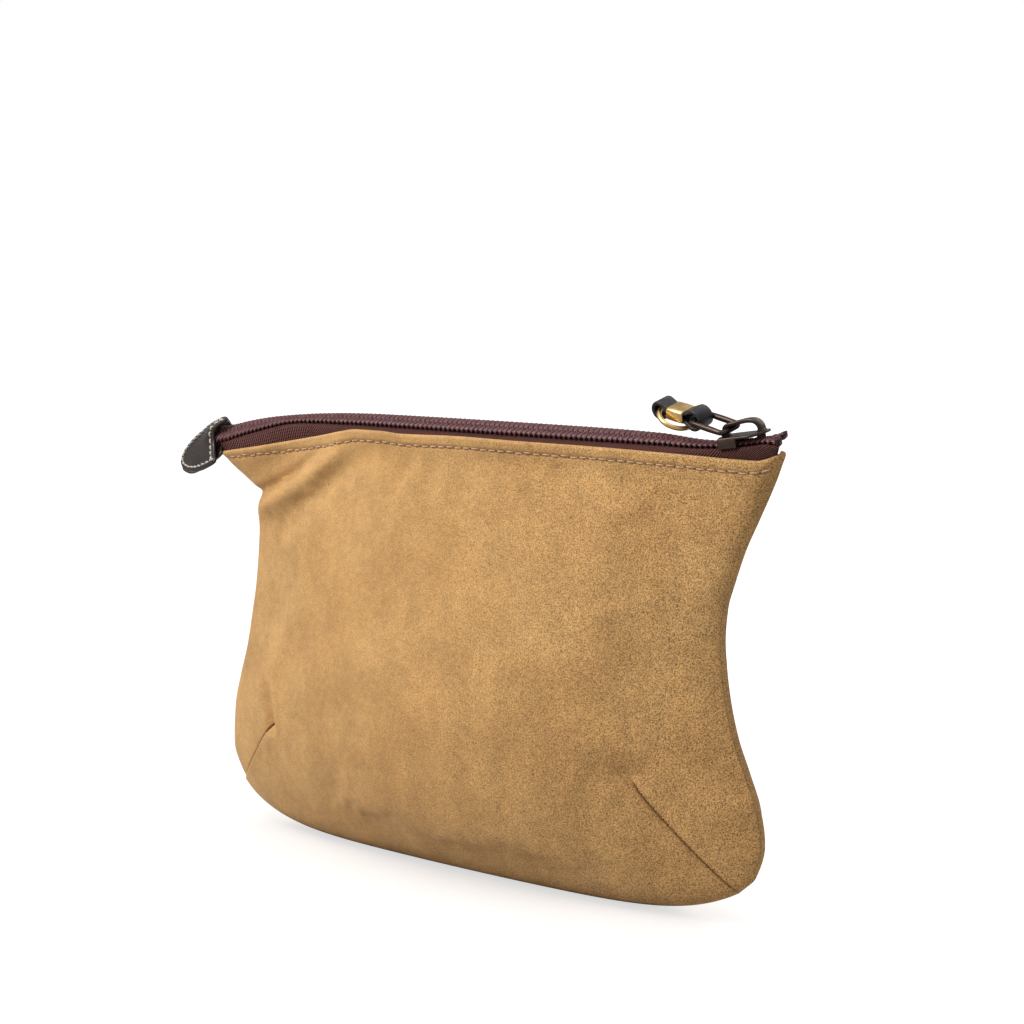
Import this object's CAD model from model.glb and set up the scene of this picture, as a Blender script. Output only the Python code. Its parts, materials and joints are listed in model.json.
"""Suede zip-top clutch: the looks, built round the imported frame.

Lengths are millimetres until a mesh is made.
"""
import json
import math

import bpy
import numpy as np
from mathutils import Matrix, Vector


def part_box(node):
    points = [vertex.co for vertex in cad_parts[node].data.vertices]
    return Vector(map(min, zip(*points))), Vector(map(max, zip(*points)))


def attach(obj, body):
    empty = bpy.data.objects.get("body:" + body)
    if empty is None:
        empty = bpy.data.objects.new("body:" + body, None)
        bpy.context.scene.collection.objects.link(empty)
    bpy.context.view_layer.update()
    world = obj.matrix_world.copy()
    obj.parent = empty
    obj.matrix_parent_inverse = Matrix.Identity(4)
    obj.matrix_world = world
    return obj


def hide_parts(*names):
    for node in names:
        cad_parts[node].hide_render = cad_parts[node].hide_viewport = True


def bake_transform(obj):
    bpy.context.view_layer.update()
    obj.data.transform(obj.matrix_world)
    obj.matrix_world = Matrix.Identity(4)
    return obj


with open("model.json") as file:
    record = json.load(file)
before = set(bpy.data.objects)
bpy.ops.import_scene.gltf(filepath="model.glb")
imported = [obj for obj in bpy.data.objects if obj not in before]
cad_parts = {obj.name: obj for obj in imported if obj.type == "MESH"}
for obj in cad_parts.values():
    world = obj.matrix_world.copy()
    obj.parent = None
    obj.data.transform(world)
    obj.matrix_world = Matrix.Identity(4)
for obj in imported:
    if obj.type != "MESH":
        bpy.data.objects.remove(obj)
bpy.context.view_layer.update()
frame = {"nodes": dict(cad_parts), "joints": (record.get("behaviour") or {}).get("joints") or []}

MM = 0.001
JOINTS = {j["name"]: j for j in frame["joints"]}


def joint_pos(name):
    return np.array(JOINTS[name]["pos_m"]) / MM


# ---- sizes that the frame gives ----
MOUTH_HALF, _, PANEL_H = np.array(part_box("front_panel")[1]) / MM
CHAIN_Z = joint_pos("zip_end_lift")[2]
TAB_PIVOT = joint_pos("tab_swing")

# ---- the panels' outline and swell ----
CORNER_Z, BASE_SAG = 13.0, -0.5
LEFT_SIDE = ((13, 22, 32, 50, 64.5, 78, 92, 105, 119, 132, 140, 144.6, 146.6, 153, 160.3),
             (116.2, 122.3, 125.8, 124.4, 120.6, 116.3, 113.1, 110.4, 108.5, 107.2, 106.4,
              106.3, 109.3, 118.8, 128.4))     # heights, and the half widths there
RIGHT_SIDE = ((13, 19, 31, 45, 57.6, 70, 84, 95, 106, 117, 128, 139.5, 150, 165, 174),
              (117, 122.4, 125.4, 123.2, 118.6, 113.8, 110.4, 108.8, 108.0, 108.8, 111.8,
               115.6, 120.2, 126.6, 129.6))
LIP_LINE = ((-130, -105, -86, -70, -60, -52, -40, -29, 0, 18, 69, 93, 116, 122, 126, 130),
            (160.3, 164.5, 168, 171, 173.1, 174.3, 174.3, 173.7, 174.1, 173.9, 173.4, 172.9,
             172.2, 172.1, 173.2, 175.4))      # x, and the lip's height there
SEAM_GAP, EDGE_T, BELLY, BELLY_T, LIP_SWELL = 0.15, 0.9, 29.0, 0.27, 7.1
SUEDE_T, HEM_T, SEAM_ROLL = 1.25, 2.4, 1.3
STITCH_DOWN, STITCH_DOWN_LEFT, STITCH, STITCH_GAP, THREAD_R = 4.5, 2.6, 4.0, 0.36, 0.34

# ---- the zip ----
PITCH, TAPE_T = 2.17, 0.55
# x along the bag, and the chain's height, lean in degrees and sideways shift there
CHAIN_LINE = ((-134, -124, -113, -93, -86, -77, -62, -45, 50, 80, 98, 107, 115, 123, 130),
              (-11.0, -9.2, -6.4, -2.5, -1.6, -0.9, -0.3, 0, -0.3, -0.7, -1.5, -1.3, -0.1, 1.2, 2.5))
CHAIN_LEAN = ((-134, -122, -108, -86, -60, -30, 0, 50, 80, 98, 107, 122, 130),
              (50, 41, 31, 17, 26, 31, 33, 32, 24, 10, 5, 5, 22))
CHAIN_SIDE = ((-60, 80, 104, 123, 130), (0, 0, -1.2, -1.2, -0.6))
ZIP_X0, COIL_X1, TAPE_X1, BACK_TAPE_SHORT = -130.2, 128.0, 129.2, 2.8

# ---- where pieces bend from one body to the next ----
EAR_S, MID_S = -0.6, 0.18     # panel columns at which the pieces part
EAR_X, MID_X = -78.0, 22.0    # and the same places on the zip
END_START, END_X = np.array([-123.0, 0, 170]), -122.6   # the zip bends with the tab beyond here


def smooth(u):
    v = np.clip(u, 0, 1)
    return v * v * (3 - 2 * v)


def mix(a, b, u):
    return a + (b - a) * u


def curve(x, at, value):
    """A smooth line through a few control values, with no overshoot between them."""
    at, value = np.asarray(at, float), np.asarray(value, float)
    gap = np.diff(at)
    rise = np.diff(value) / gap
    pair = rise[:-1] * rise[1:]
    steady = pair > 0
    inner = np.where(steady, 2 * pair / np.where(steady, rise[:-1] + rise[1:], 1), 0)
    slope = np.r_[rise[0], inner, rise[-1]]
    i = np.clip(np.searchsorted(at, x) - 1, 0, len(gap) - 1)
    u = np.clip((x - at[i]) / gap[i], 0, 1)
    return (value[i] * (1 + 2 * u) * (1 - u) ** 2 + gap[i] * slope[i] * u * (1 - u) ** 2
            + value[i + 1] * u * u * (3 - 2 * u) + gap[i] * slope[i + 1] * u * u * (u - 1))


def bell(x, width):
    return np.exp(-(x / width) ** 2)


# ---- meshes ----

def grid_faces(rows, cols, wrap=False):
    """Quads over a rows x cols block of points; wrap joins the last column to the first."""
    r, c = np.meshgrid(np.arange(rows - 1), np.arange(cols if wrap else cols - 1), indexing="ij")
    d = (c + 1) % cols
    return np.stack([r * cols + c, r * cols + d, (r + 1) * cols + d, (r + 1) * cols + c], -1).reshape(-1, 4)


def grid_uv(us, vs):
    """Corner UVs for grid_faces: us has one value a row, vs one a column edge."""
    u, v = np.meshgrid(us, vs, indexing="ij")
    near, far = slice(None, -1), slice(1, None)
    corners = [(u[i], v[i]) for i in ((near, near), (near, far), (far, far), (far, near))]
    return np.stack([np.stack(c, -1) for c in corners], 2).reshape(-1, 2)


class Shape:
    """Points, faces and corner UVs of one or more closed forms, gathered into one mesh."""

    def __init__(self):
        self.points, self.faces, self.uvs, self.slots, self.count = [], [], [], [], 0

    def add(self, points, faces, uvs=None, slot=0):
        points = np.asarray(points, float).reshape(-1, 3)
        faces = [list(np.asarray(f) + self.count) for f in faces]
        spare = sum(len(f) for f in faces) - (0 if uvs is None else len(uvs))
        self.points.append(points)
        self.faces += faces
        self.uvs += ([] if uvs is None else [uvs]) + [np.zeros((spare, 2))]
        self.slots += [slot] * len(faces)
        self.count += len(points)
        return self

    def object(self, name, materials, sharp_deg=50, place=None, slot=None):
        points = np.vstack(self.points)
        if place is not None:
            points = place(points)
        mesh = bpy.data.meshes.new(name)
        mesh.from_pydata((points * MM).tolist(), [], self.faces)
        layer = mesh.uv_layers.new(name="UVMap")
        layer.data.foreach_set("uv", np.vstack(self.uvs).astype(np.float32).ravel())
        for m in materials if isinstance(materials, (list, tuple)) else [materials]:
            mesh.materials.append(m)
        mesh.polygons.foreach_set("material_index", self.slots)
        mesh.shade_smooth()
        mesh.set_sharp_from_angle(angle=math.radians(sharp_deg))
        mesh.update()
        obj = bpy.data.objects.new(name, mesh)
        bpy.context.scene.collection.objects.link(obj)
        return obj


def hand_over(shape, name, look, slot, body, *nodes, place=None):
    """Makes a piece, ties it to its body (or bends it between two) and retires its CAD nodes."""
    piece = shape.object(name, look, slot=slot, place=place)
    if callable(body):
        body(piece)
    else:
        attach(piece, body)
    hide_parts(*nodes)


def lattice(shape, block, wrap=False, ends=True, uv=None, slot=0):
    """Adds a rows x cols block of points as a skin; wrapped skins get their ends capped."""
    rows, cols, _ = block.shape
    faces = [list(f) for f in grid_faces(rows, cols, wrap)]
    if wrap and ends:
        faces += [list(range(cols))[::-1], list(range((rows - 1) * cols, rows * cols))]
    uvs = None if uv is None else grid_uv(*uv)
    return shape.add(block, faces, uvs, slot)


def run_length(path):
    return np.r_[0, np.cumsum(np.linalg.norm(np.diff(path, axis=0), axis=1))]


def tube(shape, path, radius, sides=8, closed=False):
    """A round wire along a path, its radius one value or one a point."""
    path = np.asarray(path, float)
    ahead = np.roll(path, -1, 0) - np.roll(path, 1, 0)
    if not closed:
        ahead[0], ahead[-1] = path[1] - path[0], path[-1] - path[-2]
    ahead /= np.linalg.norm(ahead, axis=1)[:, None]
    side = np.cross(ahead[0], [0.3, 0.2, 0.93])
    sides_of = []
    for d in ahead:
        side = side - d * (side @ d)
        side /= np.linalg.norm(side)
        sides_of.append(side)
    sides_of = np.array(sides_of)
    ups = np.cross(ahead, sides_of)
    angle = np.arange(sides) * 2 * math.pi / sides
    radius = np.broadcast_to(np.asarray(radius, float), len(path))[:, None, None]
    ring = np.cos(angle)[None, :, None] * sides_of[:, None] + np.sin(angle)[None, :, None] * ups[:, None]
    block = path[:, None] + radius * ring
    length = run_length(path)
    if closed:
        block = np.vstack([block, block[:1]])
        length = np.r_[length, length[-1] + np.linalg.norm(path[0] - path[-1])]
    return lattice(shape, block, wrap=True, ends=not closed, uv=(length, np.linspace(0, 1, sides + 1)))


def inward(outline, distance):
    """A closed outline moved inward by a distance."""
    ahead = np.roll(outline, -1, 0) - np.roll(outline, 1, 0)
    normal = np.stack([-ahead[:, 1], ahead[:, 0]], 1)
    return outline + normal / np.linalg.norm(normal, axis=1)[:, None] * distance


def pad(shape, outline, low, high, edge, rings=7, bend=None):
    """A flat piece from low to high, its outline counter-clockwise and its edges rounded."""
    centre = outline.mean(0)
    flat = inward(outline, edge)
    layers = []
    for k in np.linspace(0.02, 1, rings):
        layers.append(np.c_[mix(centre, flat, k), np.full(len(outline), low)])
    for a in np.radians(np.linspace(-70, 70, 6)):
        ring = inward(outline, edge * (1 - math.cos(a)))
        z = low + edge if a < 0 else high - edge
        layers.append(np.c_[ring, np.full(len(outline), z + edge * math.sin(a))])
    for k in np.linspace(1, 0.02, rings):
        layers.append(np.c_[mix(centre, flat, k), np.full(len(outline), high)])
    block = np.array(layers)
    if bend is not None:
        block = bend(block.reshape(-1, 3)).reshape(block.shape)
    return lattice(shape, block, wrap=True)


def rounded(width, height, radius, per_corner=6):
    """A rounded rectangle, counter-clockwise, centred on the origin."""
    points = []
    for i, (sx, sy) in enumerate([(1, 1), (-1, 1), (-1, -1), (1, -1)]):
        for a in np.radians(np.linspace(90 * i, 90 * i + 90, per_corner)):
            points.append([sx * (width / 2 - radius) + radius * math.cos(a),
                           sy * (height / 2 - radius) + radius * math.sin(a)])
    return np.array(points)


def resample(path, count, closed=False):
    path = np.asarray(path, float)
    if closed:
        path = np.vstack([path, path[:1]])
    length = run_length(path)
    at = np.linspace(0, length[-1], count + 1)[:-1] if closed else np.linspace(0, length[-1], count)
    return np.stack([np.interp(at, length, path[:, i]) for i in range(path.shape[1])], 1)


def place_at(origin, x_dir, y_dir):
    """A function that takes points from a local frame to the shared frame."""
    x = np.array(x_dir, float) / np.linalg.norm(x_dir)
    y = np.array(y_dir, float)
    y = y - x * (x @ y)
    y /= np.linalg.norm(y)
    axes = np.array([x, y, np.cross(x, y)])
    return lambda points: np.asarray(points) @ axes + np.asarray(origin)


# ---- materials ----

class Look:
    """A small builder for one procedural material."""

    def __init__(self, name):
        self.material = bpy.data.materials.new(name)
        self.material.use_nodes = True
        self.tree = self.material.node_tree
        self.shader = self.tree.nodes["Principled BSDF"]
        self.coords = self.tree.nodes.new("ShaderNodeTexCoord")

    def node(self, kind, settings=None, **inputs):
        n = self.tree.nodes.new("ShaderNode" + kind)
        for key, value in (settings or {}).items():
            setattr(n, key, value)
        for key, value in inputs.items():
            self.feed(n, key.replace("_", " "), value)
        return n

    def feed(self, n, key, value):
        socket = n.inputs[int(key[1:])] if key[0] == "i" and key[1:].isdigit() else n.inputs[key]
        if isinstance(value, bpy.types.NodeSocket):
            self.tree.links.new(value, socket)
        else:
            socket.default_value = value

    def noise(self, size_mm, detail=4.0, roughness=0.6, stretch=(1, 1, 1)):
        place = self.node("Mapping", Vector=self.coords.outputs["Object"], Scale=stretch)
        return self.node("TexNoise", Vector=place.outputs[0], Scale=1 / (size_mm * MM), Detail=detail,
                         Roughness=roughness).outputs["Fac"]

    def ramp(self, fac, *stops):
        n = self.node("ValToRGB", Fac=fac)
        n.color_ramp.elements.remove(n.color_ramp.elements[1])
        for i, (at, colour) in enumerate(stops):
            e = n.color_ramp.elements[0] if i == 0 else n.color_ramp.elements.new(at)
            e.position = at
            e.color = (*colour, 1) if isinstance(colour, tuple) else (colour, colour, colour, 1)
        return n.outputs["Color"]

    def blend(self, fac, a, b, how="MIX"):
        n = self.node("Mix", {"data_type": "RGBA", "blend_type": how})
        for i, value in ((0, fac), (6, a), (7, b)):
            value = (*value, 1) if isinstance(value, tuple) and len(value) == 3 else value
            self.feed(n, f"i{i}", value)
        return n.outputs[2]

    def math(self, how, a, b=0.0):
        return self.node("Math", {"operation": how}, i0=a, i1=b).outputs[0]

    def half_sine(self, phase):
        """A sine wave between 0 and 1."""
        wave = self.math("SINE", phase)
        return self.node("Math", {"operation": "MULTIPLY_ADD"}, i0=wave, i1=0.5, i2=0.5).outputs[0]

    def bump(self, height, depth_mm, strength=1.0, after=None):
        n = self.node("Bump", Height=height, Distance=depth_mm * MM, Strength=strength)
        if after is not None:
            self.feed(n, "Normal", after)
        return n.outputs[0]

    def finish(self, **inputs):
        for key, value in inputs.items():
            value = (*value, 1) if isinstance(value, tuple) and len(value) == 3 else value
            self.feed(self.shader, key.replace("_", " "), value)
        return self.material


def suede_look():
    look = Look("suede")
    cloud = look.noise(46, 3)
    brushed = look.noise(11, 4, 0.55, stretch=(1, 1, 0.6))
    blotch = look.noise(3.2, 5, 0.65)
    nap = look.noise(0.50, 2.5, 0.7)
    side = look.node("SeparateXYZ", Vector=look.coords.outputs["Object"]).outputs[0]
    # the nap is coarser towards the right, from x -40 mm to 90 mm
    coarse = look.node("MapRange", Value=side, From_Min=-0.04, From_Max=0.09, To_Min=0.30).outputs[0]
    colour = look.ramp(cloud, (0.30, (0.560, 0.304, 0.112)), (0.52, (0.620, 0.350, 0.133)),
                       (0.72, (0.670, 0.392, 0.156)))
    open_air = look.node("AmbientOcclusion", {"samples": 4}, Distance=4.5 * MM).outputs["AO"]
    for share, shade in ((0.5, look.ramp(brushed, (0.36, 0.72), (0.62, 1.0))),
                         (0.34, look.ramp(blotch, (0.34, 0.60), (0.60, 1.0))),
                         (coarse, look.ramp(nap, (0.36, 0.36), (0.49, 0.95), (0.60, 1.45))),
                         (1.0, look.ramp(open_air, (0.30, (0.30, 0.22, 0.18)), (0.80, (1.0, 1.0, 1.0))))):
        colour = look.blend(share, colour, shade, "MULTIPLY")
    normal = look.bump(blotch, 0.28, 0.55)
    normal = look.bump(nap, 0.30, coarse, normal)
    rough = look.ramp(nap, (0.3, 0.86), (0.7, 0.98))
    return look.finish(Base_Color=colour, Roughness=rough, Normal=normal, Specular_IOR_Level=0.12,
                       Sheen_Weight=0.30, Sheen_Roughness=0.55, Sheen_Tint=(0.92, 0.74, 0.52))


def weave_look(name, dark, light, rib_mm, slope, roughness=0.8, depth=0.12):
    """Woven cloth in UV millimetres; slope turns the ribs into a twill."""
    look = Look(name)
    split = look.node("SeparateXYZ", Vector=look.coords.outputs["UV"])
    along, across = split.outputs[0], split.outputs[1]
    ribs = look.math("ADD", look.math("MULTIPLY", along, 2 * math.pi / rib_mm),
                     look.math("MULTIPLY", across, slope * 2 * math.pi / rib_mm))
    rib = look.half_sine(ribs)
    picks = look.math("SINE", look.math("MULTIPLY", across, 2 * math.pi / (rib_mm * 0.55)))
    height = look.math("ADD", rib, look.math("MULTIPLY", picks, 0.22))
    wear = look.noise(5.0, 4)
    colour = look.blend(look.ramp(rib, (0.1, 0.0), (0.85, 1.0)), dark, light)
    colour = look.blend(0.5, colour, look.ramp(wear, (0.3, 0.62), (0.7, 1.0)), "MULTIPLY")
    fuzz = look.bump(look.noise(0.35, 3), 0.06, 0.5)
    return look.finish(Base_Color=colour, Roughness=roughness, Normal=look.bump(height, depth, 0.9, fuzz),
                       Specular_IOR_Level=0.25, Sheen_Weight=0.18, Sheen_Tint=light)


def coil_look():
    look = Look("coil_nylon")
    tone = look.noise(2.4, 4)
    colour = look.ramp(tone, (0.30, (0.080, 0.024, 0.027)), (0.70, (0.165, 0.062, 0.064)))
    scuff = look.noise(0.5, 2)
    return look.finish(Base_Color=colour, Roughness=look.ramp(scuff, (0.3, 0.40), (0.7, 0.56)),
                       Normal=look.bump(scuff, 0.03, 0.5), Specular_IOR_Level=0.45)


def leather_look(name, dark, light, roughness=0.42):
    look = Look(name)
    grain = look.node("TexVoronoi", {"feature": "DISTANCE_TO_EDGE"}, Vector=look.coords.outputs["Object"],
                      Scale=1 / (0.55 * MM)).outputs["Distance"]
    pores = look.noise(0.6, 4)
    cloud = look.noise(7, 4)
    colour = look.ramp(cloud, (0.3, dark), (0.72, light))
    geometry = look.node("NewGeometry")
    worn = look.ramp(geometry.outputs["Pointiness"], (0.50, 0.0), (0.60, 1.0))
    colour = look.blend(look.math("MULTIPLY", worn, 0.35), colour, tuple(c * 2.6 for c in light))
    normal = look.bump(look.ramp(grain, (0.0, 0.0), (0.12, 1.0)), 0.045, 0.45)
    normal = look.bump(pores, 0.05, 0.45, normal)
    rough = look.ramp(pores, (0.3, roughness - 0.07), (0.7, roughness + 0.12))
    return look.finish(Base_Color=colour, Roughness=rough, Normal=normal, Specular_IOR_Level=0.5,
                       Coat_Weight=0.12, Coat_Roughness=0.35)


def metal_look(name, dark, light, rough_low, rough_high, worn_colour, worn_share):
    look = Look(name)
    smudge = look.noise(2.6, 5, 0.6)
    fine = look.noise(0.35, 3)
    colour = look.ramp(smudge, (0.32, dark), (0.68, light))
    geometry = look.node("NewGeometry")
    worn = look.ramp(geometry.outputs["Pointiness"], (0.515, 0.0), (0.60, 1.0))
    colour = look.blend(look.math("MULTIPLY", worn, worn_share), colour, worn_colour)
    rough = look.ramp(smudge, (0.3, rough_low), (0.7, rough_high))
    return look.finish(Base_Color=colour, Metallic=1.0, Roughness=rough, Normal=look.bump(fine, 0.02, 0.35))


def thread_look(name, dark, light):
    look = Look(name)
    split = look.node("SeparateXYZ", Vector=look.coords.outputs["UV"])
    twist = look.math("ADD", look.math("MULTIPLY", split.outputs[0], 2 * math.pi / 0.55),
                      look.math("MULTIPLY", split.outputs[1], 4 * math.pi))
    ply = look.half_sine(twist)
    colour = look.blend(ply, dark, light)
    colour = look.blend(0.4, colour, look.ramp(look.noise(1.6, 3), (0.3, 0.6), (0.7, 1.0)), "MULTIPLY")
    return look.finish(Base_Color=colour, Roughness=0.7, Normal=look.bump(ply, 0.08, 0.8), Sheen_Weight=0.2)


def hole_look():
    look = Look("needle_holes")
    colour = look.ramp(look.noise(0.8, 2), (0.3, (0.085, 0.042, 0.022)), (0.7, (0.16, 0.082, 0.045)))
    return look.finish(Base_Color=colour, Roughness=0.95, Normal=look.bump(look.noise(0.4, 2), 0.05))


SUEDE = suede_look()
LINING = weave_look("lining_cloth", (0.060, 0.036, 0.026), (0.115, 0.072, 0.052), 0.9, 0.0, 0.75, 0.08)
TWILL = weave_look("tape_twill", (0.022, 0.006, 0.006), (0.190, 0.070, 0.058), 1.25, 1.0, depth=0.40)
COIL = coil_look()
TAB_LEATHER = leather_look("tab_leather", (0.010, 0.0050, 0.0036), (0.028, 0.0150, 0.0110), 0.26)
PULL_LEATHER = leather_look("pull_leather", (0.007, 0.006, 0.006), (0.020, 0.016, 0.016), 0.34)
BRONZE = metal_look("antique_bronze", (0.030, 0.019, 0.016), (0.066, 0.044, 0.038), 0.30, 0.48,
                    (0.26, 0.18, 0.14), 0.5)
STOP_METAL = metal_look("plum_metal", (0.045, 0.020, 0.020), (0.095, 0.048, 0.046), 0.34, 0.50,
                        (0.24, 0.14, 0.12), 0.4)
GOLD = metal_look("gold_plate", (0.72, 0.47, 0.18), (0.88, 0.63, 0.29), 0.26, 0.40, (1.0, 0.84, 0.55), 0.5)
TAN_THREAD = thread_look("tan_thread", (0.52, 0.29, 0.16), (0.80, 0.53, 0.34))
CREAM_THREAD = thread_look("cream_thread", (0.40, 0.36, 0.30), (0.80, 0.75, 0.66))
HOLES = hole_look()


# ---- suede panels ----

def lip_z(s):
    return curve(s * MOUTH_HALF, *LIP_LINE)


def base_z(s):
    return mix(BASE_SAG, CORNER_Z, np.abs(s) ** 6)


def stitch_down(s):
    """How far below the lip the topstitching runs: it closes on the lip towards the drooping corner."""
    return mix(STITCH_DOWN_LEFT, STITCH_DOWN, smooth((np.asarray(s) + 1) / 0.5))


def plan(s, t):
    """Where a panel's (s across, t up) lies in the XZ plane."""
    s, t = np.broadcast_arrays(np.asarray(s, float), t)
    z = np.maximum(0, mix(base_z(s), lip_z(s), t))
    side = mix(CORNER_Z, np.where(s < 0, LIP_LINE[1][0], LIP_LINE[1][-1]), t)
    half = np.where(s < 0, curve(side, *LEFT_SIDE), curve(side, *RIGHT_SIDE))
    return s * half, z


def swell(s, t, roundness=0.75):
    rise = np.where(t < BELLY_T, np.sqrt(np.maximum(0, 1 - (1 - t / BELLY_T) ** 2)),
                    (1 + np.cos(math.pi * (t - BELLY_T) / (1 - BELLY_T))) / 2)
    belly = BELLY * rise * np.maximum(0, 1 - s * s) ** roundness
    lip = LIP_SWELL * smooth((t - BELLY_T) / (1 - BELLY_T)) * np.sqrt(np.maximum(0, 1 - np.abs(s) ** 16))
    rim = EDGE_T * np.sqrt(np.maximum(0, 1 - np.abs(s) ** 30)) * np.sqrt(np.clip(t / 0.02, 0, 1))
    return belly + lip + rim


def along_line(x, z, a, b):
    """Share of the way from a to b, and signed distance to the left of that line."""
    ax, az, dx, dz = a[0], a[1], b[0] - a[0], b[1] - a[1]
    long = math.hypot(dx, dz)
    return ((x - ax) * dx + (z - az) * dz) / long ** 2, ((z - az) * dx - (x - ax) * dz) / long


DARTS = (((80.0, 52.5), (117.5, 12.5)), ((-90.5, 49.0), (-117.5, 17.5)))     # tip and end of each
VALLEY_TOP = (-97.5, 72.0)                              # where the left dart's soft valley runs out
EAR_CREASE = ((-109.0, 143.0), (-64.0, 168.0))


def to_dart(x, z, tip, end):
    """Share along a dart, signed distance to its left, and how firmly it is sewn there."""
    u, d = along_line(x, z, tip, end)
    if end[0] < 0:
        d = d - 0.35 * (1 - np.clip(u, 0, 0.3) / 0.3) ** 2
    held = smooth((u + 0.05) / 0.14) * smooth((1.12 - u) / 0.08)
    return u, d, held


def snap_to_darts(x, z):
    """Draws the nearest points onto a dart's seam, so its edge stays crisp."""
    for tip, end in DARTS:
        u, d, held = to_dart(x, z, tip, end)
        long = math.hypot(end[0] - tip[0], end[1] - tip[1])
        left = (-(end[1] - tip[1]) / long, (end[0] - tip[0]) / long)
        pull = d * bell(d, 0.8) * held
        x, z = x - left[0] * pull, z - left[1] * pull
    return x, z


def darts(x, z):
    """The sewn tucks at the lower corners: one lip of each stands over the other, and it ends in a dimple."""
    y = 0
    for tip, end in DARTS:
        u, d, held = to_dart(x, z, tip, end)
        high = 0.5 * (1 + np.tanh((d - 0.15) / 0.22))
        step = high * 1.5 * np.exp(-np.maximum(d, 0) / 8) - (1 - high) * 1.6 * np.exp(np.minimum(d, 0) / 8)
        groove = -2.3 * bell(d, 0.42)
        y = y + held * (step + groove)
        along = (tip[0] - end[0], tip[1] - end[1])
        if end[0] < 0:
            far, off = along_line(x, z, tip, VALLEY_TOP)
            window = smooth((far + 0.25) / 0.3) * smooth((1.0 - far) / 0.9)
            y = y - (4.4 * bell(off, 3.4) - 1.4 * bell(off + 5.5, 3.2)) * window
        else:
            near = np.hypot((x - tip[0] - 0.06 * along[0]) / 8.0, (z - tip[1] - 0.06 * along[1]) / 5.0)
            y = y - 2.4 * bell(near, 1)
    return y


def ear_fold(x, z, size):
    """The deep crease below the drooping corner, and the shoulder that rolls over it."""
    u, d = along_line(x, z, *EAR_CREASE)
    d = d + 2.2 * np.sin(math.pi * np.clip(u, 0, 1))
    window = smooth((u + 0.25) / 0.25) * smooth((1.25 - u) / 0.4)
    shoulder = 4.4 * bell(d + 6.5, 5.0)
    crease = -5.4 * bell(d, 2.3) * smooth((1.0 - u) / 0.9)
    ear = -2.2 * bell(d - 8.0, 6.0) * smooth((1 - u) / 0.6)
    return size * window * (shoulder + crease + ear)


def undulation(x, z, phase):
    """Slow waves of soft leather, and fewer of them near the seams."""
    waves = (np.sin(x / 31 + 0.6 * np.sin(z / 40 + phase) + phase) * np.sin(z / 46 + 1.3 * phase)
             + 0.6 * np.sin(x / 17 - z / 34 + 2.1 * phase) + 0.45 * np.sin(x / 12 + z / 19 + phase))
    return 0.62 * waves


SETTLE_S, SETTLE_T, SETTLE_FRAMES, SETTLE_CAP = 72, 52, 20, 3.0
SETTLED = {-1: None, 1: None}


def settle_cloth(side):
    """A short cloth run on a coarse copy of the panel, held along its seams and lip.

    The sheet is a little roomier than its seams, as sewn suede is, so it puffs and buckles softly.
    """
    s, t = np.linspace(-1, 1, SETTLE_S), np.linspace(0, 1, SETTLE_T)
    block = np.array([face_point(s, np.full_like(s, v), side) for v in t])
    faces = [f[::-1] if side > 0 else f for f in grid_faces(SETTLE_T, SETTLE_S)]
    sheet = Shape().add(block, faces).object(f"settling_{side}", SUEDE)
    held = sheet.vertex_groups.new(name="held")
    rim = [r * SETTLE_S + c for r in range(SETTLE_T) for c in range(SETTLE_S)
           if r in (0, SETTLE_T - 1, SETTLE_T - 2) or c in (0, SETTLE_S - 1)]
    held.add(rim, 1.0, "REPLACE")
    cloth = sheet.modifiers.new("settle", "CLOTH")
    given = cloth.settings
    given.quality, given.mass, given.time_scale = 8, 0.4, 1.0
    given.tension_stiffness = given.compression_stiffness = 12
    given.shear_stiffness, given.bending_stiffness = 4, 1.5
    given.vertex_group_mass, given.pin_stiffness = "held", 1.0
    given.use_pressure, given.uniform_pressure_force, given.shrink_min = True, 1.6, -0.02
    given.effector_weights.gravity = 0
    cloth.collision_settings.use_collision = False
    cloth.point_cache.frame_start, cloth.point_cache.frame_end = 1, SETTLE_FRAMES
    for frame_no in range(1, SETTLE_FRAMES + 1):
        bpy.context.scene.frame_set(frame_no)
    result = sheet.evaluated_get(bpy.context.evaluated_depsgraph_get()).to_mesh()
    after = np.array([v.co[:] for v in result.vertices]).reshape(SETTLE_T, SETTLE_S, 3) / MM
    moved = side * (after[..., 1] - block[..., 1])
    bpy.context.scene.frame_set(1)
    bpy.data.objects.remove(sheet)
    moved = moved - np.median(moved)
    return SETTLE_CAP * np.tanh(moved / SETTLE_CAP)


def settled(s, t, side):
    """How far the cloth run moved the panel at (s, t), read smoothly from its coarse table."""
    table = SETTLED[side]
    if table is None:
        return 0.0
    s, t = np.broadcast_arrays(np.asarray(s, float), t)
    col, row = (s + 1) / 2 * (SETTLE_S - 1), np.clip(t, 0, 1) * (SETTLE_T - 1)

    def weights(v, last):
        i = np.clip(np.floor(v).astype(int), 1, last - 3)
        f = v - i
        w = (((2 - f) * f - 1) * f / 2, ((3 * f - 5) * f * f + 2) / 2, ((4 - 3 * f) * f + 1) * f / 2,
             (f - 1) * f * f / 2)
        return [(i + k - 1, w[k]) for k in range(4)]

    across = weights(col, SETTLE_S)
    return sum(table[r, c] * wr * wc for r, wr in weights(row, SETTLE_T) for c, wc in across)


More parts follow.
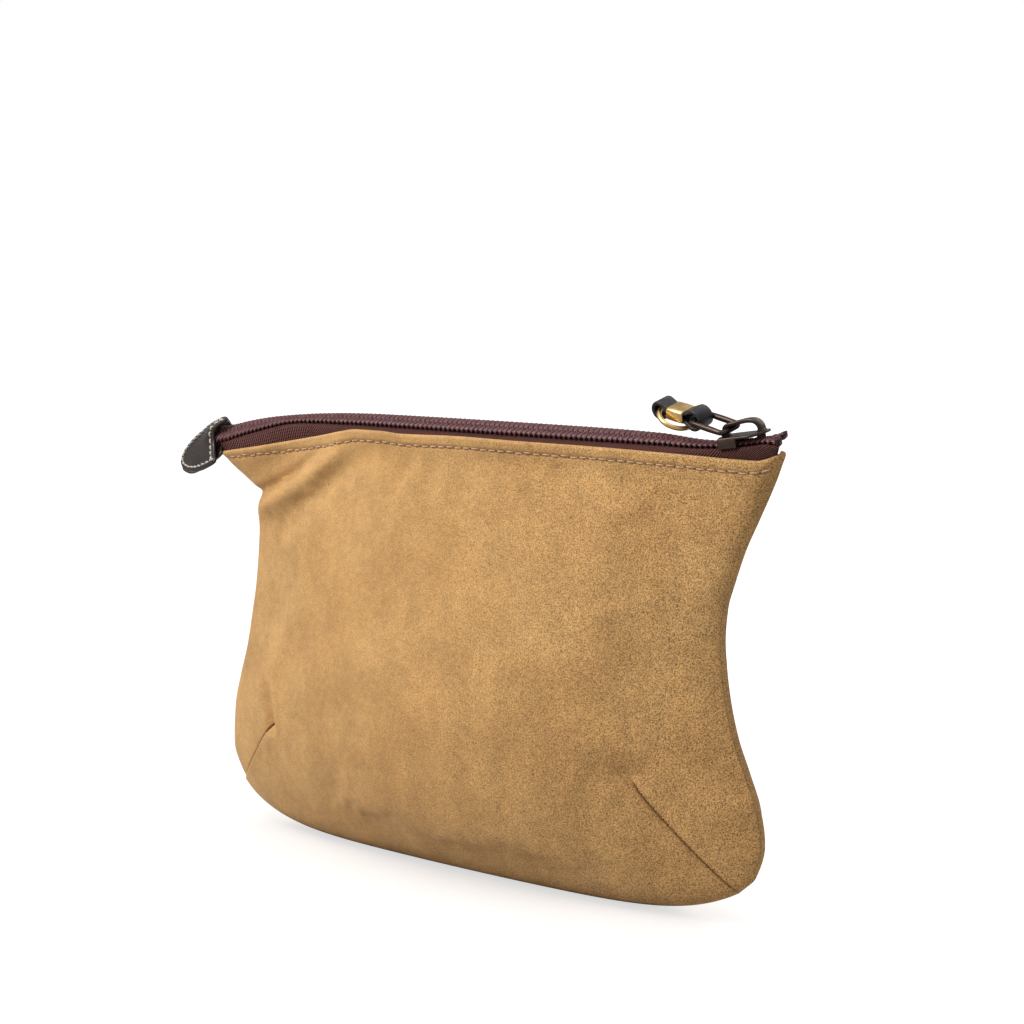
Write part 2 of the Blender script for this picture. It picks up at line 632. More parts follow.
def face_point(s, t, side):
    """A point on a panel's outside; side is -1 front, 1 back."""
    x, z = snap_to_darts(*plan(s, t))
    x = x - np.sign(s) * SEAM_ROLL * smooth((np.abs(s) - 0.990) / 0.010) ** 1.4
    height = lip_z(s) - base_z(s)
    calm = np.maximum(0, 1 - s * s) ** 0.5 * smooth(t / 0.12) * smooth((1 - t) / 0.10)
    near_edge = np.sqrt(np.maximum(0, 1 - s ** 12))
    form = swell(s, t, 0.72 if side < 0 else 0.52)
    fold = undulation(x, z, 0.7 if side < 0 else 2.9) * calm + settled(s, t, side) * calm
    fold = fold + (darts(x, z) + ear_fold(x, z, 1.0 if side < 0 else 0.45)) * near_edge
    below = (1 - t) * height
    line = stitch_down(s)
    hem = smooth((line + 0.9 - below) / 1.6) * 0.6 - 0.55 * bell(below - line, 0.8)
    fold = fold + hem * near_edge + 0.35 * np.sin(x / 9.5 + side) * smooth((t - 0.93) / 0.07) * near_edge
    y = np.where(fold < 0, form * np.exp(np.minimum(fold, 0) / np.maximum(form, 1e-3)), form + fold)
    return np.stack([x, side * (SEAM_GAP + y), z], -1)


CAP_STEP = 4                  # outer rows to an inner row; the outer rows come to a multiple of it plus one
LOW_ROWS, MID_ROWS, TOP_ROWS, COLUMNS = 136, 120, 25, 420
LOW_T, TOP_T, HEM_FROM_T, HEM_TURN = 0.32, 0.945, 0.93, 8


def panel_rows():
    low = LOW_T * (1 - np.cos(np.linspace(0, math.pi / 2, LOW_ROWS)))
    mid = np.linspace(LOW_T, TOP_T, MID_ROWS + 1)[1:]
    return np.r_[low, mid, np.linspace(TOP_T, 1 - HEM_T / 2 / (PANEL_H - CORNER_Z), TOP_ROWS + 1)[1:]]


def panel_columns(first, last):
    s = np.sin(np.linspace(-math.pi / 2, math.pi / 2, COLUMNS))
    for parting in (EAR_S, MID_S):
        s = np.where(np.abs(s - parting) == np.abs(s - parting).min(), parting, s)
    return s[(s >= first) & (s <= last)]


def base_bridge(block):
    """Quads that close the base between the last and the first row."""
    cols = block.shape[1]
    last = (block.shape[0] - 1) * cols
    return [[last + c, last + c + 1, c + 1, c] for c in range(cols - 1)]


def panel_piece(name, side, first, last):
    """Outer face, rounded hem and inner face of one stretch of a panel, as one closed skin."""
    s = panel_columns(first, last)
    rows = panel_rows()
    outer = np.array([face_point(s, np.full_like(s, t), side) for t in rows])
    top = outer[-1]
    room = np.abs(top[:, 1])
    hem = np.minimum(HEM_T, np.maximum(0.3, room - 0.1))
    fold = []
    for a in np.linspace(0, math.pi, HEM_TURN)[1:]:
        p = top.copy()
        p[:, 1] = side * (room - hem / 2 + hem / 2 * math.cos(a))
        p[:, 2] += HEM_T / 2 * math.sin(a)
        fold.append(p)
    inner = []
    for t in rows[-1 - CAP_STEP::-CAP_STEP]:
        p = face_point(s, np.full_like(s, t), side)
        thick = mix(SUEDE_T, hem, smooth((t - HEM_FROM_T) / 0.02))
        p[:, 1] = side * np.maximum(0.06, np.abs(p[:, 1]) - thick)
        p[:, 2] += SUEDE_T * (1 - t) ** 4
        inner.append(p)
    block = np.array(list(outer) + fold + inner)
    faces = [list(f) for f in grid_faces(*block.shape[:2])]
    faces += base_bridge(block)
    cols_n = block.shape[1]
    outer_n, back = len(rows), len(rows) + len(fold) - 1
    for c in (0, cols_n - 1):
        rims = [list(range(outer_n - 1, back + 1))]
        for k, low in enumerate(range(outer_n - 1 - CAP_STEP, -1, -CAP_STEP)):
            rims.append([*range(low, low + CAP_STEP + 1), back + k, back + k + 1])
        for rim in rims:
            rim = [r * cols_n + c for r in rim]
            faces.append(rim if c == 0 else rim[::-1])
    if side > 0:
        faces = [f[::-1] for f in faces]
    return Shape().add(block, faces).object(name, SUEDE, slot="suede")


def bend_ear(obj):
    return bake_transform(obj)


def bend_left(obj):
    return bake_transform(obj)


def bend_right(obj):
    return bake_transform(obj)


def bend_end(obj):
    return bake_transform(obj)


def stay(obj):
    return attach(obj, "bag")


def stretches(side, ear, mid, ends=(-1.0, 1.0)):
    """The stretches of a front or back piece: name, first, last, and how each follows the bodies."""
    first, last = ends
    if side < 0:
        return [("ear", first, ear, bend_ear), ("left", ear, mid, bend_left),
                ("right", mid, last, bend_right)]
    return [("ear", first, ear, bend_ear), ("main", ear, last, stay)]


def zip_stretches(side, ends):
    """The zip's stretches: as the panels', with the end by the tab bending along with the tab."""
    _, *others = stretches(side, EAR_X, MID_X, ends)
    return [("end", ends[0], END_X, bend_end), ("ear", END_X, EAR_X, bend_ear), *others]


SIDES = ((-1, "front"), (1, "back"))


def build_panels():
    for side, word in SIDES:
        for part, first, last, follow in stretches(side, EAR_S, MID_S):
            piece = panel_piece(f"suede_{word}_{part}", side, first, last)
            follow(piece)
            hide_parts(f"{word}_panel")


# ---- topstitching ----

HOLE_RX, HOLE_RZ = 0.50, 0.40
HOLE_RINGS = ((0.1, -0.2), (0.9, -0.1), (1.0, 0.03), (0.6, 0.09), (0.1, 0.1))   # size and height of each
STITCH_ARCH, STITCH_SINK = 0.46, 0.22


def needle_hole(shape, at, side):
    a = np.linspace(0, 2 * math.pi, 10, endpoint=False)
    ring = np.stack([HOLE_RX * np.cos(a), np.zeros(10), HOLE_RZ * np.sin(a)], 1)
    lattice(shape, np.array([at + ring * k + [0, side * d, 0] for k, d in HOLE_RINGS]), wrap=True, slot=1)


def build_topstitch():
    for side, word in SIDES:
        for part, first, last, follow in stretches(side, EAR_S, MID_S, (-0.965, 0.975)):
            shape = Shape()
            first_no = math.ceil(first * MOUTH_HALF / STITCH)
            last_no = math.floor(last * MOUTH_HALF / STITCH - 1e-6)
            for x in np.arange(first_no, last_no + 1) * STITCH:
                wobble = 0.18 * math.sin(2.4 * x) + 0.10 * math.sin(1.1 * x)
                s = (x + np.linspace(STITCH_GAP, STITCH - STITCH_GAP, 9)) / MOUTH_HALF
                t = 1 - (stitch_down(s) + wobble) / (lip_z(s) - base_z(s))
                arch = np.sin(np.linspace(0, math.pi, 9))
                path = face_point(s, t, side)
                path[:, 1] += side * (STITCH_ARCH * arch - STITCH_SINK)
                tube(shape, path, THREAD_R * (0.72 + 0.28 * arch))
                needle_hole(shape, face_point(s[:1] - STITCH_GAP / MOUTH_HALF, t[:1], side)[0], side)
            hand_over(shape, f"topstitch_{word}_{part}", [TAN_THREAD, HOLES], "topstitch_thread", follow,
                      f"{word}_topstitch")


# ---- zip chain ----

def chain_point(x, across, out):
    """A point of the chain from its place along, across and out of the chain's face."""
    x, across, out = np.broadcast_arrays(np.asarray(x, float), across, out)
    roll = np.radians(curve(x, *CHAIN_LEAN))
    y = curve(x, *CHAIN_SIDE) + across * np.cos(roll) - out * np.sin(roll)
    z = CHAIN_Z + curve(x, *CHAIN_LINE) + across * np.sin(roll) + out * np.cos(roll)
    return np.stack([x, y, z], -1)


def zip_nodes(word, part, kind):
    """The CAD nodes that a stretch of the zip takes the place of."""
    return [f"{word}_{kind}"] + ([f"zip_end_{kind}"] if part == "end" else [])


PER_TURN = 14
COIL_MID, COIL_HALF_W, COIL_OUT = 1.46, 1.98, 0.95
CORDS = {-1: (1.5, 1.5, 0.70), 1: (1.7, 1.85, 0.80)}     # place across, half width, half height


def coil_path(side, x0, x1):
    first, last = round(x0 / PITCH), round(x1 / PITCH)
    turn = np.linspace(first, last, (last - first) * PER_TURN + 1)
    angle = 2 * math.pi * turn + (0 if side < 0 else math.pi)
    across = side * (COIL_MID + coil_apart(turn * PITCH) + COIL_HALF_W * np.cos(angle))
    out = COIL_OUT + 0.60 * np.sin(angle) - 0.15 * np.cos(angle)
    slant = 0.22 * PITCH * np.cos(angle) * side
    radius = 0.45 + 0.09 * np.maximum(0, -np.cos(angle))
    return chain_point(turn * PITCH + slant, across, out), radius


def coil_apart(x):
    """How far each coil half stands off the middle: they part past the slider and relax near the tab."""
    return 1.1 * smooth((x - 122) / 5) + 0.75 * smooth((-84 - x) / 22)


def cord(shape, side, x0, x1):
    """The flattened cord that a coil half is wound round."""
    x = np.linspace(round(x0 / PITCH) * PITCH, round(x1 / PITCH) * PITCH, int((x1 - x0) / 1.5))[:, None]
    middle, half_w, half_h = CORDS[side]
    a = np.arange(10) * 2 * math.pi / 10
    across = side * (middle + coil_apart(x)) + half_w * np.cos(a)[None]
    return lattice(shape, chain_point(x, across, COIL_OUT + half_h * np.sin(a)[None]), wrap=True)


def build_coils():
    for side, word in SIDES:
        for part, first, last, follow in zip_stretches(side, (ZIP_X0, COIL_X1)):
            shape = Shape()
            tube(shape, *coil_path(side, first, last))
            cord(shape, side, first, last)
            hand_over(shape, f"coil_{word}_{part}", COIL, "zip_coil", follow, *zip_nodes(word, part, "coil"))


LIP_T, LEFT_EASE, RIGHT_EASE, EASE = 0.992, -0.975, 0.955, 0.3
TAPE_DEEP, TAPE_DEEP_EAR, TAPE_REACH, TAPE_CLEAR = 14, 7, 4.9, 0.25


def tape_section(x, side):
    """The tape's run at x, from under the coil, over to the hem's inside and down to its sewn edge."""
    s = x / MOUTH_HALF
    s = min(s, RIGHT_EASE + EASE * (s - RIGHT_EASE)) if s > 0 else max(s, LEFT_EASE + EASE * (s - LEFT_EASE))
    deepest = TAPE_DEEP_EAR + (TAPE_DEEP - TAPE_DEEP_EAR) * smooth((x + 52) / 16)
    deep = np.clip(0.8 + 0.8 * (123 - abs(x)), 0.8, deepest)
    low_t = LIP_T - (1.2 + deep) / float(lip_z(s) - base_z(s))

    def at(t):
        return face_point(np.array([s]), np.array([t]), side)[0]

    def room(point, spare):
        return abs(point[1]) - HEM_T - spare

    lip, mid, low = at(LIP_T), at(0.4 * low_t + 0.6 * LIP_T), at(low_t)
    inside = max(TAPE_CLEAR, room(lip, 0.9))
    low_in = max(TAPE_CLEAR, min(inside, room(low, 1.6)))
    mid_in = max(TAPE_CLEAR, min(mix(inside, low_in, 0.4), room(mid, 1.6)))
    apart = coil_apart(x)
    reach = min(TAPE_REACH, max(2.6 + apart, abs(lip[1]) - HEM_T / 2))
    a, b = chain_point(x, side * (0.45 + apart), -0.5), chain_point(x, side * reach, -0.6)
    c = np.array([lip[0], side * inside, lip[2] - 1.2])
    bow = mix(b, c, 0.5) + np.array([0, side * 0.25, 0.35])
    d, e = np.array([mid[0], side * mid_in, mid[2]]), np.array([low[0], side * low_in, low[2]])
    return resample([a, mix(a, b, 0.5), b, bow, c, d, e], 24)


def ribbon(shape, runs, thickness):
    """A woven band from its cross runs, given thickness across its surface."""
    runs = np.array(runs)
    along = np.gradient(runs, axis=0)
    across = np.gradient(runs, axis=1)
    normal = np.cross(along, across)
    normal /= np.maximum(np.linalg.norm(normal, axis=-1), 1e-9)[..., None]
    upper, lower = runs + normal * thickness / 2, runs - normal * thickness / 2
    block = np.concatenate([upper, lower[:, ::-1]], 1)
    widths, lengths = run_length(runs[0]), run_length(runs[:, 0])
    around = np.r_[widths, widths[::-1] + 0.3, 0]
    return lattice(shape, block, wrap=True, uv=(lengths, around))


def build_tapes():
    for side, word in SIDES:
        for part, first, last, follow in zip_stretches(side, (ZIP_X0, TAPE_X1)):
            last = last if side < 0 else min(last, TAPE_X1 - BACK_TAPE_SHORT)
            xs = np.linspace(first, last, max(8, int((last - first) / 1.6)))
            shape = Shape()
            ribbon(shape, [tape_section(x, side) for x in xs], TAPE_T)
            hand_over(shape, f"tape_{word}_{part}", TWILL, "zip_tape", follow, *zip_nodes(word, part, "tape"))


def build_top_stops():
    for side, word in SIDES:
        shape = Shape()
        pad(shape, rounded(1.9, 3.3, 0.7), -0.6, 1.9, 0.5)

        def place(p, side=side):
            return chain_point(COIL_X1 + 0.3 + p[:, 0], side * (2.6 + p[:, 1] * 0.95), p[:, 2])

        hand_over(shape, f"top_stop_{word}", STOP_METAL, "bronze", "bag", f"{word}_top_stop", place=place)


# ---- linings ----

LINING_W, LINING_T = 0.965, 0.4          # share of the panel's width, and thickness


def lining_piece(name, side, first, last):
    s = np.linspace(first, last, 70) * LINING_W
    low = 0.015 + 0.25 * (1 - np.cos(np.linspace(0, math.pi / 2, 26)))
    rows = np.r_[low, np.linspace(0.265, 0.955, 50)[1:]]

    def wall(t, thin):
        p = face_point(s, np.full_like(s, t), side)
        fade = (1 - np.abs(s) ** 14) * (1 - (1 - t) ** 14)
        fold = 0.5 * np.sin(p[:, 0] / 5.5 + 2 * np.sin(p[:, 2] / 23)) * smooth((0.9 - t) / 0.3) * fade
        y = np.maximum(0.62, (np.abs(p[:, 1]) - SUEDE_T - 1.0 - np.abs(fold)) * fade) - thin
        p[:, 1] = side * y
        p[:, 2] += (SUEDE_T + 1.6 + thin) * (1 - t) ** 4
        return p

    block = np.array([wall(t, 0) for t in rows] + [wall(t, LINING_T) for t in rows[::-1]])
    lengths = np.r_[rows, 2 * rows[-1] - rows[::-1]] * (PANEL_H - CORNER_Z)
    faces = [list(f) for f in grid_faces(*block.shape[:2])]
    faces += base_bridge(block)
    rows_n, cols_n = block.shape[:2]
    for c in (0, cols_n - 1):
        for r in range(rows_n // 2 - 1):
            rim = [i * cols_n + c for i in (r, r + 1, rows_n - 2 - r, rows_n - 1 - r)]
            faces.append(rim if c == 0 else rim[::-1])
    if side > 0:
        faces = [f[::-1] for f in faces]
    uvs = grid_uv(lengths, s * MOUTH_HALF)
    return Shape().add(block, faces, uvs).object(name, LINING, sharp_deg=75, slot="lining")


def build_linings():
    for side, word in SIDES:
        for part, first, last, follow in stretches(side, EAR_S / LINING_W, MID_S / LINING_W):
            piece = lining_piece(f"lining_{word}_{part}", side, first, last)
            follow(piece)
            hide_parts(f"{word}_lining")


# ---- slider ----

PLATE_LOW, PLATE_TOP, ROOF = (-2.75, -1.8), (2.95, 3.95), 4.05      # heights over the chain's middle
SLIDER_HALF_L, SLIDER_HALF_W = 9.0, 6.2
LOWER_PLATE = (0.9, 0.6)      # the plate inside the bag is smaller, clear of the tape's slopes
SLIDER_PITCH, SLIDER_LEAN = 9.0, 5.0
LINK_PIVOT = (-4.9, 0, 6.1)   # in the slider's own frame


def slider_place():
    """The slider sits nose up on the chain, with its rear eye on the link's pivot."""
    pitch, lean = math.radians(SLIDER_PITCH), math.radians(SLIDER_LEAN)
    x_dir, y_dir = (math.cos(pitch), 0, math.sin(pitch)), (0, math.cos(lean), math.sin(lean))
    from_pivot = place_at((0, 0, 0), x_dir, y_dir)(np.array([LINK_PIVOT]))[0]
    return place_at(joint_pos("link_lift") - from_pivot, x_dir, y_dir)


def slider_outline():
    """Straight sides at the rear, rounded and narrowing to the nose."""
    xs = np.linspace(-SLIDER_HALF_L, SLIDER_HALF_L, 40)
    u = (xs + SLIDER_HALF_L) / (2 * SLIDER_HALF_L)
    half = mix(5.6, SLIDER_HALF_W, smooth(u / 0.25)) * (1 - 0.42 * smooth((u - 0.62) / 0.38) ** 1.4)
    corner = ((np.abs(xs) - 7.4) / 1.6).clip(0, 1)
    half *= np.minimum(1, np.sqrt(np.maximum(0, 1 - corner ** 2)) * 0.45 + 0.55)
    lower = np.stack([xs, -half], 1)
    upper = np.stack([xs[::-1], half[::-1]], 1)
    return resample(np.vstack([lower, upper]), 96, closed=True)


def build_slider():
    shape = Shape()
    outline = slider_outline()

    def nose_up(p):
        p = p.copy()
        p[:, 2] += 0.7 * smooth((p[:, 0] - 2.5) / 7.5) ** 1.3
        return p

    def nose_down(p):
        p = p.copy()
        p[:, 2] -= 0.7 * smooth((p[:, 0] - 3) / 7)
        return p

    pad(shape, outline * LOWER_PLATE, *PLATE_LOW, 0.4, bend=nose_down)
    pad(shape, outline, *PLATE_TOP, 0.4, bend=nose_up)
    for side in (-1, 1):
        flange = rounded(7.0, 1.25, 0.45)
        flange = flange + np.array([-4.9, side * (SLIDER_HALF_W - 0.62)])
        pad(shape, flange, 0.0, PLATE_TOP[0] + 0.9, 0.35, rings=3)
    divider = rounded(3.4, 0.75, 0.3) + np.array([6.0, 0])
    pad(shape, divider, PLATE_LOW[0] + 0.5, PLATE_TOP[0] + 0.4, 0.2, rings=3)
    hand_over(shape, "slider_body_cast", BRONZE, "bronze", "slider", "slider_body", place=slider_place())


def strap_run(shape, spine, half_w_at, thickness, edge, closed=False):
    """A flat bar along a spine in the local XZ plane, with rounded edges and its width across Y."""
    spine = np.asarray(spine, float)
    ahead = np.roll(spine, -1, 0) - np.roll(spine, 1, 0)
    if not closed:
        ahead[0], ahead[-1] = spine[1] - spine[0], spine[-1] - spine[-2]
    ahead /= np.linalg.norm(ahead, axis=1)[:, None]
    normal = np.stack([-ahead[:, 1], ahead[:, 0]], 1)
    rows = []
    for p, n, w in zip(spine, normal, np.broadcast_to(half_w_at, len(spine))):
        ring = rounded(2 * w, thickness, edge, 4)
        rows.append(np.stack([p[0] + n[0] * ring[:, 1], ring[:, 0], p[1] + n[1] * ring[:, 1]], 1))
    block = np.array(rows)
    if closed:
        block = np.vstack([block, block[:1]])
    return lattice(shape, block, wrap=True, ends=not closed)


def curve_through(points, count):
    """A Catmull-Rom curve through 2-D points."""
    points = np.array(points, float)
    p = np.vstack([2 * points[0] - points[1], points, 2 * points[-1] - points[-2]])
    out = []
    for i in range(1, len(p) - 2):
        for u in np.linspace(0, 1, 12, endpoint=False):
            a, b, c, d = p[i - 1:i + 3]
            bend, twist = 2 * a - 5 * b + 4 * c - d, 3 * b - a - 3 * c + d
            out.append(0.5 * (2 * b + (c - a) * u + bend * u * u + twist * u ** 3))
    return resample(out + [p[-2]], count)


def build_bridge():
    spine = curve_through([(-7.0, ROOF - 0.35), (-7.1, ROOF + 1.9), (-6.0, ROOF + 3.5), (-2.0, ROOF + 4.1),
                           (2.2, ROOF + 4.5), (4.9, ROOF + 4.0), (6.3, ROOF + 2.5), (6.75, ROOF + 0.2)], 46)
    width = 1.9 + 0.45 * smooth((spine[:, 0] + 2) / 7)
    shape = Shape()
    strap_run(shape, spine, width, 1.5, 0.5)
    pad(shape, rounded(3.0, 3.8, 0.8) + np.array([-6.9, 0]), ROOF - 0.25, ROOF + 0.5, 0.3, rings=3)
    pad(shape, rounded(2.6, 4.2, 0.8) + np.array([6.6, 0]), ROOF - 0.1, ROOF + 1.0, 0.3, rings=3)
    hand_over(shape, "slider_bridge_arch", BRONZE, "bronze", "slider", "slider_bridge", place=slider_place())


# ---- pull ----

def pull_place(joint, next_joint):
    """A pull piece's own frame: its pivot is the origin and the piece runs along -X to the next pivot."""
    at = joint_pos(joint)
    return place_at(at, at - joint_pos(next_joint), JOINTS[joint]["axis"])


LINK_LEN = float(np.linalg.norm(joint_pos("link_lift") - joint_pos("strap_lift")))
STRAP_LEN = float(np.linalg.norm(joint_pos("strap_lift") - joint_pos("ring_swing")))
LINK_W, LINK_CORNER, WIRE_R = 9.3, 1.9, 0.98


def build_link():
    outline = rounded(LINK_LEN, LINK_W, LINK_CORNER, 8) - np.array([LINK_LEN / 2, 0])
    outline = resample(outline, 96, closed=True)
    path = np.c_[outline, np.zeros(len(outline))]
    middle = bell(path[:, 0] + LINK_LEN / 2, 5.0)
    shape = Shape()
    tube(shape, path, WIRE_R + 0.18 * middle, 14, closed=True)
    hand_over(shape, "pull_link_loop", BRONZE, "bronze", "link", "pull_link",
              place=pull_place("link_lift", "strap_lift"))


LOOP_R, EYE_R, LAYER_T = 3.3, 2.8, 1.5      # the strap's loops round the link and the ring


def strap_spine():
    """Both layers of the leather, round the ring, along the top, round the link and back."""
    def arc(x, radius, sign, degrees):
        return [(x + radius * math.cos(a), sign * radius * math.sin(a)) for a in np.radians(degrees)]

    def layer(sign):
        band = [(x, sign * 0.82) for x in (-STRAP_LEN + 5.6, -STRAP_LEN / 2, -6.2)]
        return (arc(-STRAP_LEN, EYE_R, sign, np.arange(180, 50, -15)) + band
                + arc(0, LOOP_R, sign, np.arange(125, -1, -15)))

    ring = layer(1) + layer(-1)[::-1][1:-1]
    return curve_through(ring + [ring[0]], 140)[:-1]


def build_strap():
    spine = strap_spine()
    along = spine[:, 0]
    width = 3.25 + 0.38 * smooth((along + 3.5) / 3) + 0.25 * smooth((-STRAP_LEN + 3.5 - along) / 3)
    shape = Shape()
    strap_run(shape, spine[::-1], width[::-1], LAYER_T, 0.45, closed=True)
    hand_over(shape, "pull_strap_leather", PULL_LEATHER, "dark_leather", "strap", "pull_strap",
              place=pull_place("strap_lift", "ring_swing"))


BAND_W, BAND_H, BAND_CORNER = 7.9, 4.5, 1.25
# distance in from an end of the band, and how much its section grows there
BAND_SECTIONS = ((0, -0.55), (0, -0.1), (0.25, 0.12), (0.8, 0.2))


def build_band():
    low, high = -STRAP_LEN + 3.9, -4.4
    middle = (low + high) / 2
    sections = [(low + x, grow) for x, grow in BAND_SECTIONS] + [(middle, 0.28)]
    sections += [(high - x, grow) for x, grow in BAND_SECTIONS[::-1]]
    rows = []
    for x, grow in sections:
        ring = rounded(BAND_W + 2 * grow, BAND_H + 2 * grow, BAND_CORNER + grow, 8)
        rows.append(np.c_[np.full(len(ring), x), ring])
    for x in (high - 0.4, low + 0.4):
        ring = rounded(6.8, 3.4, 0.7, 8)
        rows.append(np.c_[np.full(len(ring), x), ring])
    rows.append(rows[0])
    shape = Shape()
    lattice(shape, np.array(rows)[::-1], wrap=True, ends=False)
    seam = [(low + 0.6, 1.2, -2.52), (mix(low, high, 0.5), 1.25, -2.6), (high - 0.6, 1.2, -2.52)]
    tube(shape, seam, 0.16, 6)
    hand_over(shape, "pull_band_gold", GOLD, "gold", "strap", "pull_band",
              place=pull_place("strap_lift", "ring_swing"))


# ---- end tab ----

LEAF_T, LEAF_GAP, LEAF_EDGE = 1.4, 0.40, 0.5
LEAF_STITCH, LEAF_STITCH_IN, LEAF_THREAD_R = 2.8, 1.9, 0.46
TAB_ALONG, TAB_ACROSS = (0.929, -0.15, 0.339), (-0.21, 0.543, 0.813)
# the leaves' outlines in the tab's own frame, its pivot the origin
FRONT_LEAF = ((5.9, 5.7), (3.3, 6.3), (-2.2, 6.4), (-8.1, 5.6), (-14.4, 4.0), (-19.3, 1.8), (-22.3, -0.6),
              (-24.3, -3.8), (-24.2, -7.6), (-21.5, -11.1), (-17.0, -14.0), (-11.3, -16.0), (-5.6, -16.6),
              (-0.2, -16.3), (2.6, -15.9), (4.0, -15.2), (2.5, -12.0), (1.3, -8.3), (0.9, -4.1),
              (1.4, -1.0),
              (3.8, 0.9), (7.9, 1.5), (9.4, 2.6), (7.5, 4.7))
BACK_LEAF = ((1.6, 8.3), (-2.5, 9.3), (-8.0, 8.6), (-13.0, 7.6), (-18.0, 5.6), (-22.5, 3.0), (-25.4, 0.0),
             (-26.8, -3.7), (-26.6, -7.3), (-24.6, -10.4), (-20.2, -13.0), (-16.2, -14.1), (-11.3, -14.0),
             (-6.6, -13.4), (-2.0, -12.4), (1.9, -11.4), (4.0, -10.0), (2.2, -6.8), (1.7, -3.3), (2.9, 0.4),
             (4.8, 3.9))
LEAVES = ((1, "front", FRONT_LEAF), (-1, "back", BACK_LEAF))


def tab_place():
    return place_at(TAB_PIVOT, TAB_ALONG, TAB_ACROSS)


def leaf_outline(leaf, inset=0.0):
    """Round at its free end, hollowed where the zip enters, with softened corners."""
    count = 130
    outline = resample(leaf, count, closed=True)
    for _ in range(3):
        outline = 0.25 * np.roll(outline, 1, 0) + 0.5 * outline + 0.25 * np.roll(outline, -1, 0)
    return resample(inward(outline, inset) if inset else outline, count, closed=True)


def leaf_height(x, y, side):
    """The leaves bow out over the zip's end, close together round the rim and cup a little."""
    rim = np.clip(1 - np.hypot((x + 9) / 17, (y + 5) / 12) ** 2.6, 0, 1)
    entry = (2.6 if side > 0 else 2.2) * bell(y - 0.5, 5.0) * smooth((x + 13) / 14)
    return side * (LEAF_GAP + 0.35 * rim + entry)


def build_tab():
    for side, word, leaf in LEAVES:
        shape = Shape()

        def seat(p, side=side):
            p = p.copy()
            p[:, 2] = p[:, 2] + leaf_height(p[:, 0], p[:, 1], side)
            return p

        low, high = (0, LEAF_T) if side > 0 else (-LEAF_T, 0)
        pad(shape, leaf_outline(leaf), low, high, LEAF_EDGE, rings=12, bend=seat)
        hand_over(shape, f"tab_leaf_{word}", TAB_LEATHER, "dark_leather", "end_tab", f"tab_{word}_leaf",
                  place=tab_place())


def build_tab_stitching():
    shape = Shape()
    for side, _, leaf in LEAVES:
        line = leaf_outline(leaf, LEAF_STITCH_IN)
        count = int(np.linalg.norm(np.roll(line, -1, 0) - line, axis=1).sum() / LEAF_STITCH)
        dense = resample(line, count * 9, closed=True)
        for i in range(count):
            run = dense[(np.arange(7) + 9 * i + 1) % len(dense)]
            arch = np.sin(np.linspace(0, math.pi, 7))
            z = leaf_height(run[:, 0], run[:, 1], side) + side * (LEAF_T - 0.2 + 0.5 * arch)
            tube(shape, np.c_[run, z], LEAF_THREAD_R * (0.7 + 0.3 * arch))
    top = LEAF_GAP + LEAF_T
    knot = [(1.3, -14.1, top + 0.1), (2.1, -14.3, top + 0.5), (3.0, -14.2, top + 0.3)]
    tube(shape, resample(knot, 9), 0.65 * np.sin(np.linspace(0.5, math.pi - 0.5, 9)), 10)
    hand_over(shape, "tab_stitches", CREAM_THREAD, "tab_thread", "end_tab", "tab_stitching",
              place=tab_place())


def build_zip_tail():
    """The flat end of the zip between the leaves: its tape and the bottom stop."""
    shape = Shape()
    pad(shape, rounded(11, 9, 1.0) - np.array([8.5, 1.0]), -0.3, 0.3, 0.2, rings=4)
    hand_over(shape, "zip_tail_tape", TWILL, "zip_tape", "end_tab", "tab_tape_end", place=tab_place())
    stop = Shape()
    pad(stop, rounded(2.0, 6.4, 0.6) - np.array([4.0, 0]), 0.35, 1.8, 0.4, rings=3)
    hand_over(stop, "bottom_stop_clip", BRONZE, "bronze", "end_tab", "bottom_stop", place=tab_place())


def finish_ring():
    ring = frame["nodes"]["pull_ring"]
    ring.data.materials.clear()
    ring.data.materials.append(GOLD)
    for p in ring.data.polygons:
        p.material_index = 0


# ---- floor, light, camera ----

FLOOR_GLOW, FAR_GLOW, SKY, BACKDROP, FLOOR_HALF = 0.64, 0.85, 0.38, 1.0, 6000.0
LIT_POINT = (0, 0, 0.09)      # lights are placed and sized in metres, with their power in watts
KEY_LIGHT, TOP_LIGHT, BACK_LIGHT = (((-0.66, -0.92, 1.10), 0.45, 18), ((0.0, -0.2, 1.4), 1.2, 5),
                                    ((0.2, 1.2, 0.9), 1.0, 4))
AZIMUTH, ELEVATION, DISTANCE, LENS, SENSOR = math.radians(32.0), math.radians(8.52), 628.0, 57.45, 36
TARGET = np.array([18.1, 0, 145.2])


def floor_look():
    look = Look("paper_floor")
    tone = look.ramp(look.noise(60, 3), (0.3, (0.80, 0.80, 0.80)), (0.7, (0.83, 0.83, 0.83)))
    seen = look.node("LightPath").outputs["Is Camera Ray"]
    away = look.node("VectorMath", {"operation": "LENGTH"}, i0=look.coords.outputs["Object"])
    glow = look.node("MapRange", Value=away.outputs["Value"], From_Min=0.2, From_Max=1.3, To_Min=FLOOR_GLOW,
                     To_Max=FAR_GLOW).outputs[0]
    return look.finish(Base_Color=tone, Roughness=0.9, Normal=look.bump(look.noise(0.8, 2), 0.02, 0.2),
                       Emission_Color=(1, 1, 1), Emission_Strength=look.math("MULTIPLY", seen, glow))


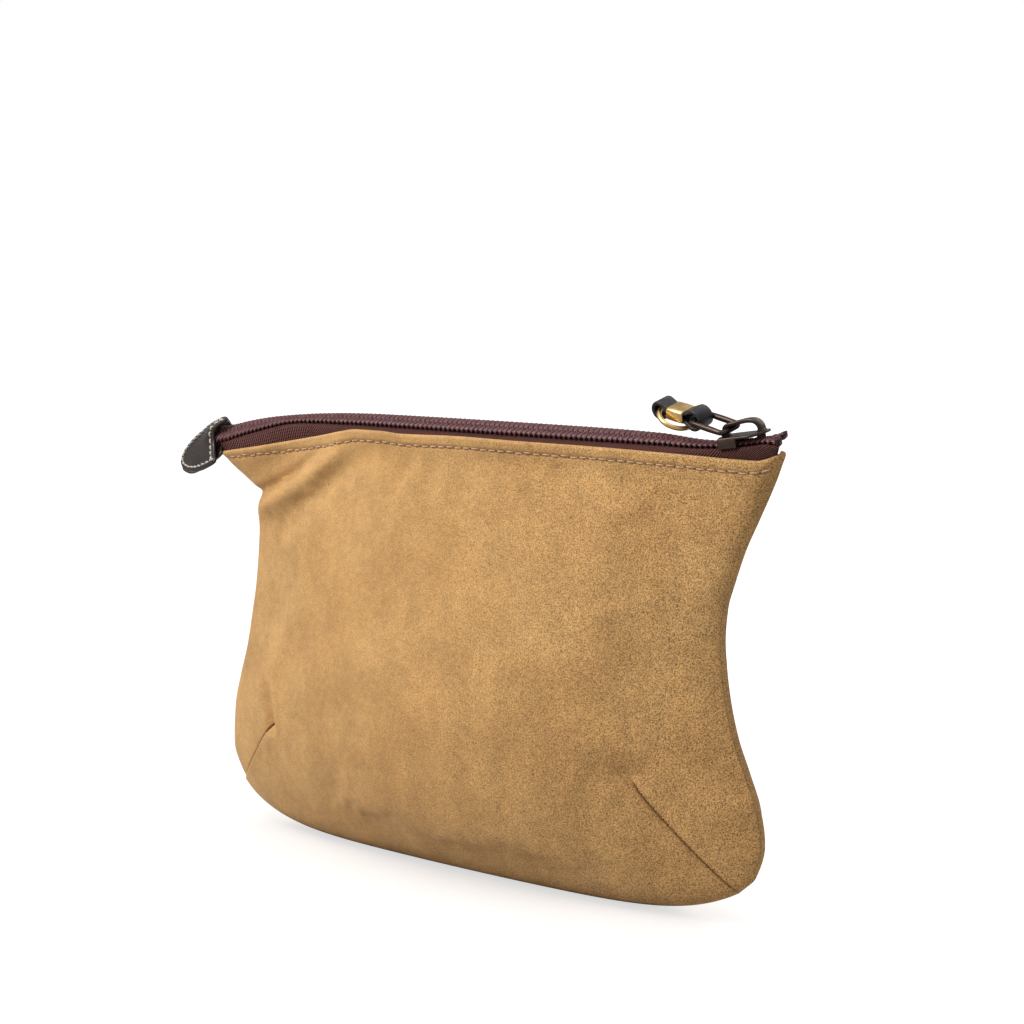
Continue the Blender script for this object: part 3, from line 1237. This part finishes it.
def aimed(name, data, place, towards):
    obj = bpy.data.objects.new(name, data)
    bpy.context.scene.collection.objects.link(obj)
    obj.location = place
    obj.rotation_euler = Vector(towards).to_track_quat("-Z", "Y").to_euler()
    return obj


def area_light(name, place, size, power):
    data = bpy.data.lights.new(name, "AREA")
    data.shape, data.size, data.size_y = "RECTANGLE", size, size
    data.energy = power
    return aimed(name, data, place, Vector(LIT_POINT) - Vector(place))


def build_stage():
    corners = [(sx * FLOOR_HALF, sy * FLOOR_HALF, 0) for sx, sy in ((-1, -1), (1, -1), (1, 1), (-1, 1))]
    floor = Shape().add(corners, [[0, 1, 2, 3]]).object("floor", floor_look())
    world = bpy.data.worlds.new("studio")
    world.use_nodes = True
    nodes, links = world.node_tree.nodes, world.node_tree.links
    sky, ray, level = nodes["Background"], nodes.new("ShaderNodeLightPath"), nodes.new("ShaderNodeMapRange")
    sky.inputs[0].default_value = (1, 1, 1, 1)
    level.inputs["To Min"].default_value, level.inputs["To Max"].default_value = SKY, BACKDROP
    links.new(ray.outputs["Is Camera Ray"], level.inputs["Value"])
    links.new(level.outputs[0], sky.inputs[1])
    bpy.context.scene.world = world
    key = area_light("key", *KEY_LIGHT)
    lit = bpy.data.collections.new("lit_by_key")
    lit.objects.link(floor)
    lit.collection_objects[0].light_linking.link_state = "EXCLUDE"
    key.light_linking.receiver_collection = lit
    area_light("top", *TOP_LIGHT)
    area_light("back", *BACK_LIGHT)


def build_camera():
    back = np.array([math.sin(AZIMUTH) * math.cos(ELEVATION), -math.cos(AZIMUTH) * math.cos(ELEVATION),
                     math.sin(ELEVATION)])
    data = bpy.data.cameras.new("camera")
    data.lens, data.sensor_width = LENS, SENSOR
    data.clip_start, data.clip_end = 0.01, 30
    bpy.context.scene.camera = aimed("camera", data, (TARGET + back * DISTANCE) * MM, -back)


for panel_side, _ in SIDES:
    SETTLED[panel_side] = settle_cloth(panel_side)
for build in (build_panels, build_topstitch, build_coils, build_tapes, build_top_stops, build_linings,
              build_slider, build_bridge, build_link, build_strap, build_band, build_tab, build_tab_stitching,
              build_zip_tail, finish_ring, build_stage, build_camera):
    build()
bpy.context.scene.view_settings.view_transform = "Standard"
